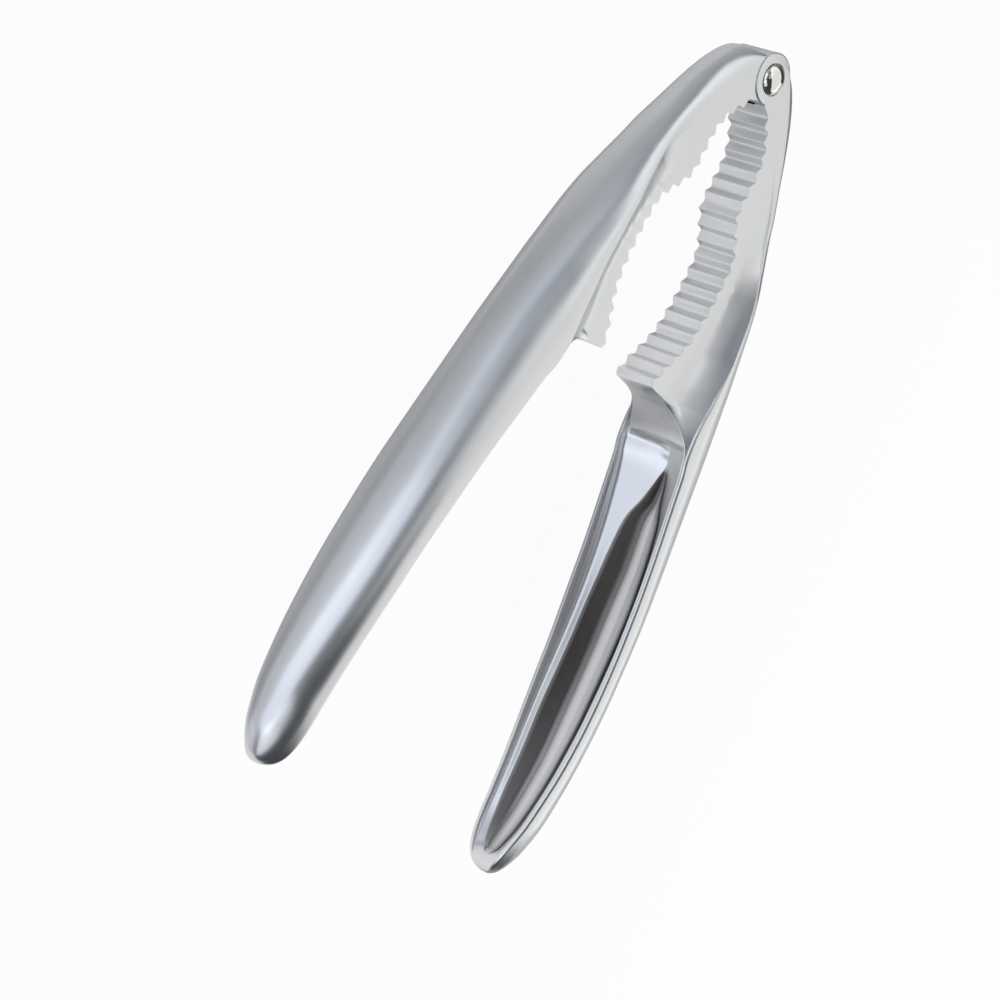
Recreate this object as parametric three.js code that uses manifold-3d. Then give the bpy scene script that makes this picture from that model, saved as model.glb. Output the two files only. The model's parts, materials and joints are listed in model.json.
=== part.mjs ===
// Lever nutcracker press: two die-cast levers, a tongue lever and a fork lever, joined by one hinge pin.
// Millimetres. The tool lies on its side: +Z is the hinge axis, -Y runs from the hinge to the handle tips.

import * as THREE from "three";
import { mergeVertices } from "three/addons/utils/BufferGeometryUtils.js";
import Module from "manifold-3d";

const wasm = await Module();
wasm.setup();

// Driving sizes of the levers
const leverReach = 187.5;      // hinge axis to handle tip
const openingAngle = 26;       // degrees between the two levers as drawn
const handleWidth = 21.2;      // widest part of the handle, across the tool
const crownReach = 22;         // hinge line to the farthest point of the outer shell
const rimRound = 0.9;          // rounding of the handle's rim
const rimLand = 0.2;           // flat between the rim's rounding and the hand recess
const wallDraft = 0.37;        // how far the recess's wall leans in for each unit of depth
const filletReach = 9;         // from the rim to where its fillet meets the jaw's flat side, by the neck

// Driving sizes of the jaws
const jawWidth = 10.6;         // width of the toothed jaws
const jawReach = 71.8;         // hinge axis to the lip of the jaw
const jawBlank = 8;            // stock above the hinge line that the teeth are cut from
const toothCount = 19;         // teeth along each jaw
const toothHeight = 1.5;
const toothSag = 0.5;          // how far each tooth dips in the middle of the jaw

// Driving sizes of the hinge
const knuckleRadius = 5.9;     // the fork's ears are as wide as the jaws
const knuckleEdge = 0.4;       // rounding of the ears' outer edges
const tongueThickness = 3.2;
const washerThickness = 0.4;
const washerRadius = 5.2;
const runningGap = 0.25;       // clearance between faces that slide on each other
const collarGap = 0.4;         // from a knuckle to the concave wall round it
const pinRadius = 2.5;
const headRadius = 3.5;        // domed heads of the pin
const domeRise = 1.5;          // dome above the ear
const headSink = 0.7;          // depth of the counterbore that holds a head

// Shared allowances
const overrun = 2;             // how far a cutting solid passes the face it cuts
const ringSides = 40;          // sides of a turned piece
const stationCount = 44;       // sections along a lever
const recessStationCount = 26; // sections along the hand recess and its scoop
const mergeTolerance = 1e-5;   // points closer than this are one

// Lever shape as shares. Stations are shares of the lever's reach, from the hinge to the tip.
const crownShares = [          // the shell's outermost line, share of the crown's reach
  [-0.0135, 0.245], [-0.008, 0.36], [-0.0025, 0.44], [0.0025, 0.485], [0.0107, 0.54], [0.0213, 0.59],
  [0.0427, 0.665], [0.064, 0.715], [0.107, 0.785], [0.165, 0.87], [0.25, 0.945], [0.33, 0.985], [0.43, 1],
  [0.533, 0.96], [0.64, 0.895], [0.747, 0.805], [0.853, 0.685], [0.917, 0.57], [0.965, 0.42], [1, 0.31],
];
const flankShares = [          // where the outer shell is widest, share of the crown's reach
  [-0.016, 0.225], [0, 0.289], [0.013, 0.345], [0.027, 0.405], [0.043, 0.465], [0.107, 0.65], [0.165, 0.735],
  [0.25, 0.72], [0.33, 0.645], [0.43, 0.535], [0.533, 0.52], [0.64, 0.515], [0.747, 0.445], [0.853, 0.315],
  [0.917, 0.2], [0.965, 0.09], [1, 0.05],
];
const rimShares = [            // the rim's crest, share of the crown's reach
  [-0.0135, 0], [0.043, -0.3], [0.107, -0.55], [0.165, -0.685], [0.25, -0.715], [0.32, -0.66], [0.38, -0.52],
  [0.43, -0.4], [0.455, -0.386], [0.478, -0.412], [0.507, -0.415], [0.58, -0.425], [0.69, -0.39],
  [0.784, -0.31], [0.853, -0.215], [0.917, -0.08], [0.965, 0.05], [1, 0.12],
];
const widthShares = [          // half width at the crest, from the jaw's (0) to the handle's (1)
  [-0.0135, 0], [0.1, 0], [0.165, 0.1], [0.21, 0.36], [0.25, 0.63], [0.32, 0.82], [0.373, 0.95], [0.42, 1],
  [0.62, 1], [0.747, 0.9], [0.8, 0.79], [0.853, 0.6], [0.917, 0.28], [0.965, 0.05], [1, -0.05],
];
const roundShares = [          // rounding of the rim, share of its full size
  [-0.0135, 0.05], [0.08, 0.06], [0.13, 0.18], [0.165, 0.35], [0.21, 0.6], [0.25, 0.8], [0.3, 1], [1, 1],
];
const filletShares = [         // reach of the rim's fillet, share of its full size
  [0, 0.6], [0.15, 0.7], [0.29, 0.76], [0.4, 1],
];
const tipLevelStartShare = 0.955;  // where the tip's round end starts, seen from the side
const tipWidthStartShare = 0.917;  // where it starts, seen from above
const tipEndShare = 0.9999;        // the last section, which closes the tip
const tipPower = 2.2;              // bluntness of the round end; 2 is an ellipse
const tipStationShare = 0.2;       // share of a row of sections that lies in the round end
const mouthFloorShare = 0.25;      // least half width of the recess's mouth, share of the handle's half width

// Hand recess: a ledge inside the rim, which slopes to the middle, and a scoop in the middle
const ledgeShares = [          // ledge below the rim at the recess's wall, share of the crown's reach
  [0.394, -0.02], [0.404, 0.005], [0.416, 0.02], [0.432, 0.05], [0.443, 0.07], [0.469, 0.08], [0.507, 0.11],
  [0.56, 0.135], [0.64, 0.145], [0.72, 0.12], [0.8, 0.09], [0.88, 0.07], [0.933, 0.055], [0.965, 0.04],
  [0.977, 0.02], [0.985, -0.015],
];
const dipShares = [            // fall of the ledge from the wall to the middle, share of the crown's reach
  [0.437, 0], [0.4427, 0.012], [0.448, 0.055], [0.4587, 0.155], [0.469, 0.245], [0.49, 0.27], [0.517, 0.25],
  [0.57, 0.22], [0.67, 0.15], [0.784, 0.1], [0.88, 0.13], [0.933, 0.14], [0.965, 0.1], [0.983, 0],
];
const scoopWidthShares = [     // half width of the scoop, share of the handle's half width
  [0.466, 0.01], [0.49, 0.13], [0.517, 0.27], [0.544, 0.46], [0.57, 0.53], [0.613, 0.59], [0.67, 0.63],
  [0.784, 0.62], [0.85, 0.55], [0.896, 0.48], [0.939, 0.36], [0.962, 0.24], [0.973, 0.12], [0.977, 0.02],
];
const scoopDepthShares = [     // depth of the scoop below its edge, share of the crown's reach
  [0.466, 0.005], [0.49, 0.04], [0.52, 0.09], [0.57, 0.15], [0.613, 0.18], [0.693, 0.19], [0.784, 0.185],
  [0.85, 0.165], [0.905, 0.125], [0.95, 0.075], [0.97, 0.03], [0.977, 0.01],
];

// The jaw's working face, shares of the jaw's reach: small-nut hollow, bump, large-nut hollow, lip
const jawShares = [
  [0.118, -0.03], [0.167, -0.058], [0.209, -0.075], [0.256, -0.082], [0.306, -0.075], [0.355, -0.063],
  [0.39, -0.054], [0.425, -0.052], [0.46, -0.064], [0.508, -0.089], [0.557, -0.106], [0.606, -0.103],
  [0.655, -0.093], [0.7, -0.083], [0.752, -0.068], [0.794, -0.052], [0.836, -0.035], [0.877, -0.007],
  [0.919, 0.028], [0.961, 0.06], [1, 0.078],
];
const rootShares = [[-0.16, 0], [0.085, 0]];       // the cut's straight run over the knuckle
const neckShares = [                               // the neck's face, from the lip down to the rim
  [1, 0.078], [1.011, 0.05], [1.024, 0.01], [1.04, -0.02], [1.054, -0.0418], [1.086, -0.0738],
  [1.1226, -0.1], [1.1476, -0.111], [1.184, -0.1184],
];
const neckFineShares = [0.36, 0.52]; // stretch with twice as many sections, round the neck's foot
const peakShare = 0.5;         // a tooth's peak along its pitch, by the hinge
const peakDriftShare = 0.12;   // how far the peak has moved along the pitch at the lip
const domeFlankShare = 0.15;   // straight part of a pin head below its dome

// Values worked out from the driving sizes
const halfOpening = THREE.MathUtils.degToRad(openingAngle / 2);
const halfJaw = jawWidth / 2;
const halfKnuckle = halfJaw;
const halfTongue = tongueThickness / 2;
const halfSlot = halfTongue + washerThickness + runningGap * 2;
const collarRadius = knuckleRadius + collarGap;
const boreRadius = pinRadius + runningGap;
const halfHandle = handleWidth / 2;

// A smooth curve through a table of shares, flat where the table turns back
function law(shares, along, across) {
  const xs = shares.map((pair) => pair[0] * along);
  const ys = shares.map((pair) => pair[1] * across);
  const slopes = xs.map((x, i) => {
    if (i === 0 || i === xs.length - 1) return 0;
    const before = (ys[i] - ys[i - 1]) / (xs[i] - xs[i - 1]);
    const after = (ys[i + 1] - ys[i]) / (xs[i + 1] - xs[i]);
    return before * after > 0 ? (2 * before * after) / (before + after) : 0;
  });
  return (x) => {
    if (x <= xs[0]) return ys[0];
    let i = 0;
    while (i < xs.length - 2 && x > xs[i + 1]) i += 1;
    const width = xs[i + 1] - xs[i];
    const t = Math.min((x - xs[i]) / width, 1);
    const rise = ys[i + 1] - ys[i];
    const start = slopes[i] * width;
    const end = slopes[i + 1] * width;
    return ys[i] + t * start + t * t * (3 * rise - 2 * start - end) + t * t * t * (start + end - 2 * rise);
  };
}

const crownLaw = law(crownShares, leverReach, crownReach);
const flankLaw = law(flankShares, leverReach, crownReach);
const rimLaw = law(rimShares, leverReach, crownReach);
const widthLaw = law(widthShares, leverReach, 1);
const roundLaw = law(roundShares, leverReach, rimRound);
const filletLaw = law(filletShares, leverReach, filletReach);
const ledgeLaw = law(ledgeShares, leverReach, crownReach);
const dipLaw = law(dipShares, leverReach, crownReach);
const scoopWidthLaw = law(scoopWidthShares, leverReach, halfHandle);
const scoopDepthLaw = law(scoopDepthShares, leverReach, crownReach);
const neckLaw = law(neckShares, jawReach, jawReach);
const neckEnd = neckShares[neckShares.length - 1][0] * jawReach;

// The round end of the handle: 1 along the lever, falling to 0 at the tip
function tipRound(a, startShare) {
  const start = startShare * leverReach;
  if (a <= start) return 1;
  const t = Math.min((a - start) / (leverReach - start), 1);
  return (1 - t ** tipPower) ** (1 / tipPower);
}

const tipLevel = (rimLaw(leverReach) - crownLaw(leverReach)) / 2;
const drawnIn = (level, a) => tipLevel + (level - tipLevel) * tipRound(a, tipLevelStartShare);
const crownLevel = (a) => drawnIn(-crownLaw(a), a);
const flankLevel = (a) => drawnIn(-flankLaw(a), a);
const rimLevel = (a) => drawnIn(rimLaw(a), a);

// The inner edge: the neck's face, then the handle's rim
const edgeLevel = (a) => (a < neckEnd ? neckLaw(a) : rimLevel(a));

// The outer side at one station: levels of its widest line and rim, the rim's rounding, half widths there
function sideAt(a) {
  const flank = flankLevel(a);
  const rim = Math.max(rimLevel(a), flank);
  const atCrest = halfJaw + (halfHandle - rimRound - halfJaw) * widthLaw(a);
  const wide = (atCrest + roundLaw(a)) * tipRound(a, tipWidthStartShare);
  const round = Math.min(roundLaw(a), (rim - flank) / 2, wide / 2);
  return { flank, rim, wide, round, crest: wide - round };
}

// Half the width at a level above the rim, where a fillet runs out into the jaw's flat side
function filletWidth(a, level) {
  const { rim, crest } = sideAt(a);
  const left = 1 - Math.min(Math.max((level - rim) / filletLaw(a), 0), 1);
  const wall = Math.min(halfJaw, crest);
  return wall + (crest - wall) * left * left;
}

// Sections along the lever, closer together towards the round tip
function stationsOf(first, last, count) {
  const tipStart = tipWidthStartShare * leverReach;
  const tipCount = Math.round(count * tipStationShare);
  const shaftCount = count - tipCount;
  const stations = [];
  for (let i = 0; i < shaftCount; i += 1) stations.push(first + (tipStart - first) * (i / shaftCount));
  for (let i = 0; i <= tipCount; i += 1) {
    stations.push(tipStart + (last - tipStart) * Math.sin((i / tipCount) * Math.PI / 2));
  }
  const [fineStart, fineEnd] = neckFineShares.map((share) => share * leverReach);
  return stations.flatMap((a, i) => {
    const halved = a > fineStart && a < fineEnd;
    return halved ? [a, (a + stations[i + 1]) / 2] : [a];
  });
}

const blankStart = crownShares[0][0] * leverReach;
const blankStations = stationsOf(blankStart, tipEndShare * leverReach, stationCount);

// Closes a stack of equal rings of points into one solid surface
function loft(rings) {
  const count = rings[0].length;
  const points = rings.flat();
  const triangles = [];
  for (let i = 0; i < rings.length - 1; i += 1) {
    for (let j = 0; j < count; j += 1) {
      const k = (j + 1) % count;
      const here = i * count;
      const next = here + count;
      triangles.push(here + j, here + k, next + k, here + j, next + k, next + j);
    }
  }
  const capRing = (ring, offset, flip) => {
    const centre = new THREE.Vector3();
    ring.forEach((p) => centre.addScaledVector(p, 1 / count));
    points.push(centre);
    const hub = points.length - 1;
    for (let j = 0; j < count; j += 1) {
      const k = (j + 1) % count;
      triangles.push(hub, offset + (flip ? k : j), offset + (flip ? j : k));
    }
  };
  capRing(rings[0], 0, true);
  capRing(rings[rings.length - 1], (rings.length - 1) * count, false);
  const geometry = new THREE.BufferGeometry().setFromPoints(points);
  geometry.setIndex(triangles);
  return geometry;
}

// Turns a closed geometry into a solid, and a solid back into a geometry
function solid(geometry) {
  const bare = geometry.clone();
  bare.deleteAttribute("normal");
  bare.deleteAttribute("uv");
  const merged = mergeVertices(bare, mergeTolerance);
  return new wasm.Manifold(new wasm.Mesh({
    numProp: 3,
    vertProperties: new Float32Array(merged.attributes.position.array),
    triVerts: new Uint32Array(merged.index.array),
  }));
}

function geometryOf(body) {
  const mesh = body.getMesh();
  const geometry = new THREE.BufferGeometry();
  geometry.setAttribute("position", new THREE.BufferAttribute(new Float32Array(mesh.vertProperties), 3));
  geometry.setIndex(new THREE.BufferAttribute(new Uint32Array(mesh.triVerts), 1));
  return geometry;
}

// A disc or a ring blank about the hinge axis, between two heights
function disc(radius, low, high) {
  const geometry = new THREE.CylinderGeometry(radius, radius, high - low, ringSides);
  geometry.rotateX(Math.PI / 2);
  geometry.translate(0, 0, (low + high) / 2);
  return solid(geometry);
}

// Half of the lever's section at one station: crown, flank, rim, fillet, flat side of the jaw
function halfSection(a) {
  const crown = crownLevel(a);
  const { flank, rim, wide, round, crest } = sideAt(a);
  const half = [];
  const crownSteps = 9;
  for (let i = 0; i <= crownSteps; i += 1) {
    const angle = (i / crownSteps) * Math.PI / 2;
    half.push([flank + (crown - flank) * Math.cos(angle), wide * Math.sin(angle)]);
  }
  const roundSteps = 3;
  for (let i = 0; i <= roundSteps; i += 1) {
    const angle = (i / roundSteps) * Math.PI / 2;
    half.push([rim - round * (1 - Math.sin(angle)), crest + round * Math.cos(angle)]);
  }
  const filletSteps = 5;
  for (let i = 1; i <= filletSteps; i += 1) {
    const level = rim + filletLaw(a) * (i / filletSteps);
    half.push([level, filletWidth(a, level)]);
  }
  half.push([jawBlank, Math.min(halfJaw, crest)]);
  return half;
}

function leverBlank() {
  const rings = blankStations.map((a) => {
    const half = halfSection(a);
    const near = half.map(([b, z]) => new THREE.Vector3(a, b, z));
    const far = half.slice(1).reverse().map(([b, z]) => new THREE.Vector3(a, b, -z));
    return [...far, ...near].reverse();
  });
  return solid(loft(rings));
}

// The toothed working face: points along the jaw, valley and peak by turns
function jawProfile() {
  const onJaw = jawShares.map(([a, b]) => new THREE.Vector2(a, b).multiplyScalar(jawReach));
  const curve = new THREE.SplineCurve(onJaw);
  const points = [];
  for (let i = 0; i < toothCount; i += 1) {
    const peak = peakShare + peakDriftShare * (i / toothCount);
    for (const [share, lift] of [[0, -0.5], [peak, 0.5]]) {
      const u = (i + share) / toothCount;
      const along = curve.getTangentAt(u);
      const outward = new THREE.Vector2(-along.y, along.x);
      points.push(curve.getPointAt(u).addScaledVector(outward, lift * toothHeight));
    }
  }
  points.push(curve.getPointAt(1));
  return points;
}

// Everything on the inner side of the jaw, the neck and the rim, as one cutting solid
function innerCut() {
  const jaw = jawProfile();
  const root = rootShares.map(([a, b]) => new THREE.Vector2(a * jawReach, b * jawReach));
  const neck = neckShares.slice(1).map(([a, b]) => new THREE.Vector2(a * jawReach, b * jawReach));
  const rimStations = blankStations.filter((a) => a > neckEnd);
  const rim = rimStations.map((a) => new THREE.Vector2(a, rimLevel(a)));
  const end = new THREE.Vector2(leverReach + overrun, tipLevel);
  const ceiling = jawBlank + overrun;
  const corners = [new THREE.Vector2(end.x, ceiling), new THREE.Vector2(root[0].x, ceiling)];
  const outline = [...root, ...jaw, ...neck, ...rim, end, ...corners];
  const sagSteps = 4;
  const heights = [-halfHandle - overrun, halfHandle + overrun];
  for (let i = 0; i <= sagSteps; i += 1) heights.splice(-1, 0, halfJaw * (2 * i / sagSteps - 1));
  const firstTooth = root.length;
  const lastTooth = root.length + jaw.length;
  const layers = heights.map((z) => {
    const dip = toothSag * (1 - Math.min((z / halfJaw) ** 2, 1));
    return outline.map((p, i) => {
      const toothed = i >= firstTooth && i < lastTooth;
      return new THREE.Vector3(p.x, p.y - (toothed ? dip : 0), z);
    });
  });
  return solid(prism(layers, outline));
}

// Stacks copies of one outline and closes the two ends by triangulating it
function prism(layers, outline) {
  const count = outline.length;
  const triangles = [];
  for (let i = 0; i < layers.length - 1; i += 1) {
    for (let j = 0; j < count; j += 1) {
      const k = (j + 1) % count;
      const here = i * count;
      const next = here + count;
      triangles.push(here + j, here + k, next + k, here + j, next + k, next + j);
    }
  }
  const last = (layers.length - 1) * count;
  for (const [p, q, r] of THREE.ShapeUtils.triangulateShape(outline, [])) {
    triangles.push(p, r, q, last + p, last + q, last + r);
  }
  const geometry = new THREE.BufferGeometry().setFromPoints(layers.flat());
  geometry.setIndex(triangles);
  return geometry;
}

// The recess at one station: half width at its mouth and at the ledge, and the level of the ledge at its wall
function recessAt(a) {
  const edge = edgeLevel(a);
  const wide = filletWidth(a, edge);
  const depth = ledgeLaw(a);
  const mouth = Math.max(wide - rimLand, wide * mouthFloorShare);
  const foot = mouth - wallDraft * Math.min(Math.max(depth, 0), mouth);
  return { edge, mouth, foot, ledge: edge - depth, middle: edge - depth - dipLaw(a) };
}

// The hand recess: steep walls inside the rim and a ledge that slopes to the middle
function handRecess() {
  const first = ledgeShares[0][0] * leverReach;
  const last = ledgeShares[ledgeShares.length - 1][0] * leverReach;
  const rings = stationsOf(first, last, recessStationCount).map((a) => {
    const { edge, mouth, foot, ledge, middle } = recessAt(a);
    const halfway = (ledge + middle) / 2;
    const half = [
      [edge + overrun, mouth],
      [Math.max(edge, ledge), mouth],
      [ledge, foot],
      [halfway, foot / 2],
    ];
    const near = half.map(([b, z]) => new THREE.Vector3(a, b, z));
    const far = half.map(([b, z]) => new THREE.Vector3(a, b, -z)).reverse();
    return [...near, new THREE.Vector3(a, middle, 0), ...far];
  });
  return solid(loft(rings));
}

// The scoop in the ledge's middle: a pointed start, a round bottom and a crisp edge
function scoop() {
  const first = scoopWidthShares[0][0] * leverReach;
  const last = scoopWidthShares[scoopWidthShares.length - 1][0] * leverReach;
  const arcSteps = 8;
  const rings = stationsOf(first, last, recessStationCount).map((a) => {
    const { foot, ledge, middle } = recessAt(a);
    const wide = scoopWidthLaw(a);
    const edge = middle + (ledge - middle) * Math.min(wide / foot, 1);
    const deep = scoopDepthLaw(a);
    const ring = [new THREE.Vector3(a, edge + overrun, wide)];
    for (let j = 0; j <= arcSteps; j += 1) {
      const angle = (j / arcSteps) * Math.PI;
      ring.push(new THREE.Vector3(a, edge - deep * Math.sin(angle), wide * Math.cos(angle)));
    }
    ring.push(new THREE.Vector3(a, edge + overrun, -wide));
    return ring;
  });
  return solid(loft(rings));
}

// What both levers share: the shell, the toothed jaw, the neck, the hand recess and its scoop
function leverBody() {
  return leverBlank().subtract(innerCut()).subtract(handRecess()).subtract(scoop());
}

// The tongue lever: one thin knuckle in the middle, and concave walls round the fork's ears
function tongueLever() {
  const tongue = disc(knuckleRadius, -halfTongue, halfTongue);
  const earRoomAbove = disc(collarRadius, halfTongue, halfHandle);
  const earRoomBelow = disc(collarRadius, -halfHandle, -halfTongue);
  const bore = disc(boreRadius, -halfHandle, halfHandle);
  return leverBody().subtract(earRoomAbove).subtract(earRoomBelow).add(tongue).subtract(bore);
}

// The ears before they are slotted: one knuckle with rounded outer edges
function earBlank() {
  const profile = [new THREE.Vector2(0, -halfKnuckle)];
  const edgeSteps = 3;
  for (const side of [-1, 1]) {
    for (let i = 0; i <= edgeSteps; i += 1) {
      const turn = (side < 0 ? i : edgeSteps - i) / edgeSteps * Math.PI / 2;
      const radius = knuckleRadius - knuckleEdge * (1 - Math.sin(turn));
      profile.push(new THREE.Vector2(radius, side * (halfKnuckle - knuckleEdge * (1 - Math.cos(turn)))));
    }
  }
  profile.push(new THREE.Vector2(0, halfKnuckle));
  return turned(profile);
}

// The fork lever: two ears with a slot for the tongue, and counterbores for the pin's heads
function forkLever() {
  const ears = earBlank();
  const slot = disc(collarRadius, -halfSlot, halfSlot);
  const bore = disc(boreRadius, -halfHandle, halfHandle);
  const seat = headRadius + runningGap;
  const frontSeat = disc(seat, halfKnuckle - headSink, halfHandle);
  const rearSeat = disc(seat, -halfHandle, headSink - halfKnuckle);
  return leverBody().add(ears).subtract(slot).subtract(bore).subtract(frontSeat).subtract(rearSeat);
}

// Hinge pin: a shaft with one domed head, turned about the hinge axis
function hingePin() {
  const low = -halfKnuckle + headSink + runningGap;
  const high = halfKnuckle - headSink + runningGap;
  const profile = [
    new THREE.Vector2(0, low),
    new THREE.Vector2(pinRadius, low),
    new THREE.Vector2(pinRadius, high),
  ];
  profile.push(...domeProfile(high, halfKnuckle + domeRise));
  return turned(profile);
}

// Rear cap: the matching domed head, pressed over the end of the pin
function rearCap() {
  const profile = [new THREE.Vector2(0, headSink - halfKnuckle - runningGap)];
  const dome = domeProfile(halfKnuckle - headSink + runningGap, halfKnuckle + domeRise);
  profile.push(...dome.map((p) => new THREE.Vector2(p.x, -p.y)));
  return turned(profile.reverse());
}

function domeProfile(low, high) {
  const rimTop = low + (high - low) * domeFlankShare;
  const points = [new THREE.Vector2(headRadius, low)];
  const steps = 6;
  for (let i = 0; i < steps; i += 1) {
    const angle = (i / steps) * Math.PI / 2;
    points.push(new THREE.Vector2(headRadius * Math.cos(angle), rimTop + (high - rimTop) * Math.sin(angle)));
  }
  points.push(new THREE.Vector2(0, high));
  return points;
}

function turned(profile) {
  const geometry = new THREE.LatheGeometry(profile, ringSides);
  geometry.rotateX(Math.PI / 2);
  return solid(geometry);
}

function washer(side) {
  const low = halfTongue + runningGap;
  const ring = disc(washerRadius, low, low + washerThickness);
  const hole = disc(boreRadius, 0, halfHandle);
  const geometry = geometryOf(ring.subtract(hole));
  if (side < 0) geometry.rotateX(Math.PI);
  return geometry;
}

// Materials
const satin = (colour) => new THREE.MeshStandardMaterial({ color: colour, metalness: 0.9, roughness: 0.38 });
const polished = new THREE.MeshStandardMaterial({ color: 0xd9d6cf, metalness: 1, roughness: 0.08 });
const plastic = new THREE.MeshStandardMaterial({ color: 0xd8d8d4, metalness: 0, roughness: 0.5 });

function named(name, geometry, material) {
  geometry.computeVertexNormals();
  const mesh = new THREE.Mesh(geometry, material);
  mesh.name = name;
  return mesh;
}

// Assembly about the hinge axis
const tongue = named("tongue_lever", geometryOf(tongueLever()), satin(0xb4bac2));
tongue.rotation.z = -Math.PI / 2 - halfOpening;

const fork = named("fork_lever", geometryOf(forkLever()), satin(0xb9bdc2));
fork.rotation.set(Math.PI, 0, -Math.PI / 2 + halfOpening, "ZYX");

const hinge = new THREE.Group();
hinge.add(
  tongue,
  fork,
  named("hinge_pin", geometryOf(hingePin()), polished),
  named("rear_cap", geometryOf(rearCap()), polished.clone()),
  named("front_washer", washer(1), plastic),
  named("rear_washer", washer(-1), plastic.clone()),
);

// The origin is at the middle of the underside
hinge.updateMatrixWorld(true);
const bounds = new THREE.Box3().setFromObject(hinge, true);
const centre = bounds.getCenter(new THREE.Vector3());
hinge.position.set(-centre.x, -centre.y, -bounds.min.z);

const nutcracker = new THREE.Group();
nutcracker.add(hinge);
nutcracker.updateMatrixWorld(true);

export default nutcracker;
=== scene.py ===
# Lever nutcracker press: two satin cast levers on one polished pin, lying on a pale studio floor
import bpy
import json
import math
from mathutils import Matrix, Vector


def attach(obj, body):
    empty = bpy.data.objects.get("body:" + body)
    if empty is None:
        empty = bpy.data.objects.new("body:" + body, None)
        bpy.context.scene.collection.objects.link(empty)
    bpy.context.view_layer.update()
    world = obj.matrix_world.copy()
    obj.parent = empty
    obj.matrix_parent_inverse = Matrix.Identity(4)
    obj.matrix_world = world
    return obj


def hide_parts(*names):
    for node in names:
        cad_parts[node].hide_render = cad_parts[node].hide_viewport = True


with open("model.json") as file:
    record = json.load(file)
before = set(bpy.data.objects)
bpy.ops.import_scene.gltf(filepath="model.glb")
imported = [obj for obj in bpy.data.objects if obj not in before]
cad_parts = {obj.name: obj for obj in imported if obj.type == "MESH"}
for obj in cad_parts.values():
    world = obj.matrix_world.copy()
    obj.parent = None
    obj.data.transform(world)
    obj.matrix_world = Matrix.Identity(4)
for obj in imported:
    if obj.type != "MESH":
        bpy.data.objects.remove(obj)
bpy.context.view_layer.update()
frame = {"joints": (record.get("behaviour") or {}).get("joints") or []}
mm = 0.001                # in metres
hingePoint = Vector(frame["joints"][0]["pos_m"])

# Camera, measured from the hinge; first, so that all else is framed by it
camera = {
    "fromHinge": (-0.494521, -0.168204, 0.397543),
    "right": (0.53323, 0.45326, 0.71430),
    "up": (-0.35312, 0.88653, -0.29894),
    "lens": 106.2,
    "sensor": 36,
}


def makeCamera():
    right = Vector(camera["right"])
    up = Vector(camera["up"])
    turned = Matrix((right, up, right.cross(up))).transposed().to_4x4()
    bpy.ops.object.camera_add()
    eye = bpy.context.object
    eye.name = "studioCamera"
    eye.data.lens = camera["lens"]
    eye.data.sensor_width = camera["sensor"]
    eye.matrix_world = Matrix.Translation(hingePoint + Vector(camera["fromHinge"])) @ turned
    bpy.context.scene.camera = eye


makeCamera()
print("camera placed")

# Lever sizes in millimetres; places along the lever run from the hinge to the tip
lever = {
    "reach": 187.5,
    "openingAngle": 26,
    "handleWidth": 21.2,
    "crownReach": 22,
    "rimRound": 0.9,
    "filletReach": 9,     # from the rim to where its fillet meets the jaw's flat side, by the neck
    "filletPower": 1.6,   # 1 would be a plain slope
    "filletMost": 0.6,    # most of the way from the rim to the inner edge that the fillet's faces take
    "start": -3,          # the shell's end behind the hinge
    "tipLevelStart": 0.955,
    "tipWidthStart": 0.917,
    "tipEnd": 0.9999,
    "tipPower": 2.2,      # bluntness of the round end
    "tipSections": 34,
    "handleStep": 1.2,    # spacing of the sections along the handle
    "edgeStep": 0.55,     # spacing along the jaw's root and the neck
    "weld": 0.002,        # points closer than this are one
    "sliver": 0.001,      # edges shorter than this go
}

# The levels of the crown's middle, of the widest place and of the rim: shares of the reach, then of
# the crown's reach
crownTable = [
    (-0.016, 0.2), (-0.0135, 0.245), (-0.008, 0.36), (-0.0025, 0.44), (0.0025, 0.485), (0.0107, 0.54),
    (0.0213, 0.59), (0.0427, 0.665), (0.064, 0.715), (0.107, 0.785), (0.165, 0.87), (0.25, 0.945),
    (0.33, 0.985), (0.43, 1), (0.533, 0.96), (0.64, 0.895), (0.747, 0.805), (0.853, 0.685),
    (0.917, 0.57), (0.965, 0.42), (1, 0.31),
]
flankTable = [
    (-0.016, 0.225), (0, 0.289), (0.013, 0.345), (0.027, 0.405), (0.043, 0.465), (0.107, 0.65),
    (0.165, 0.735), (0.25, 0.72), (0.33, 0.645), (0.43, 0.535), (0.533, 0.52), (0.64, 0.515),
    (0.747, 0.445), (0.853, 0.315), (0.917, 0.2), (0.965, 0.09), (1, 0.05),
]
rimTable = [
    (-0.016, 0), (0.043, -0.3), (0.107, -0.55), (0.165, -0.685), (0.25, -0.715), (0.32, -0.66),
    (0.38, -0.52), (0.43, -0.4), (0.455, -0.386), (0.478, -0.412), (0.507, -0.415), (0.58, -0.425),
    (0.69, -0.39), (0.784, -0.31), (0.853, -0.215), (0.917, -0.08), (0.965, 0.05), (1, 0.12),
]

# Half width at the rim's crest, from the jaw's (0) to the handle's (1)
widthTable = [
    (-0.016, 0), (0.1, 0), (0.165, 0.1), (0.21, 0.36), (0.25, 0.63), (0.32, 0.82), (0.373, 0.95),
    (0.42, 1), (0.62, 1), (0.747, 0.9), (0.8, 0.79), (0.853, 0.6), (0.917, 0.28), (0.965, 0.05), (1, -0.05),
]

# The rim's rounding and its fillet's reach, as shares of the full ones
roundTable = [
    (-0.016, 0.01), (0.08, 0.012), (0.13, 0.15), (0.165, 0.35), (0.21, 0.6), (0.25, 0.8), (0.3, 1), (1, 1),
]
filletTable = [(0, 0.6), (0.15, 0.7), (0.29, 0.76), (0.4, 1)]

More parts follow.
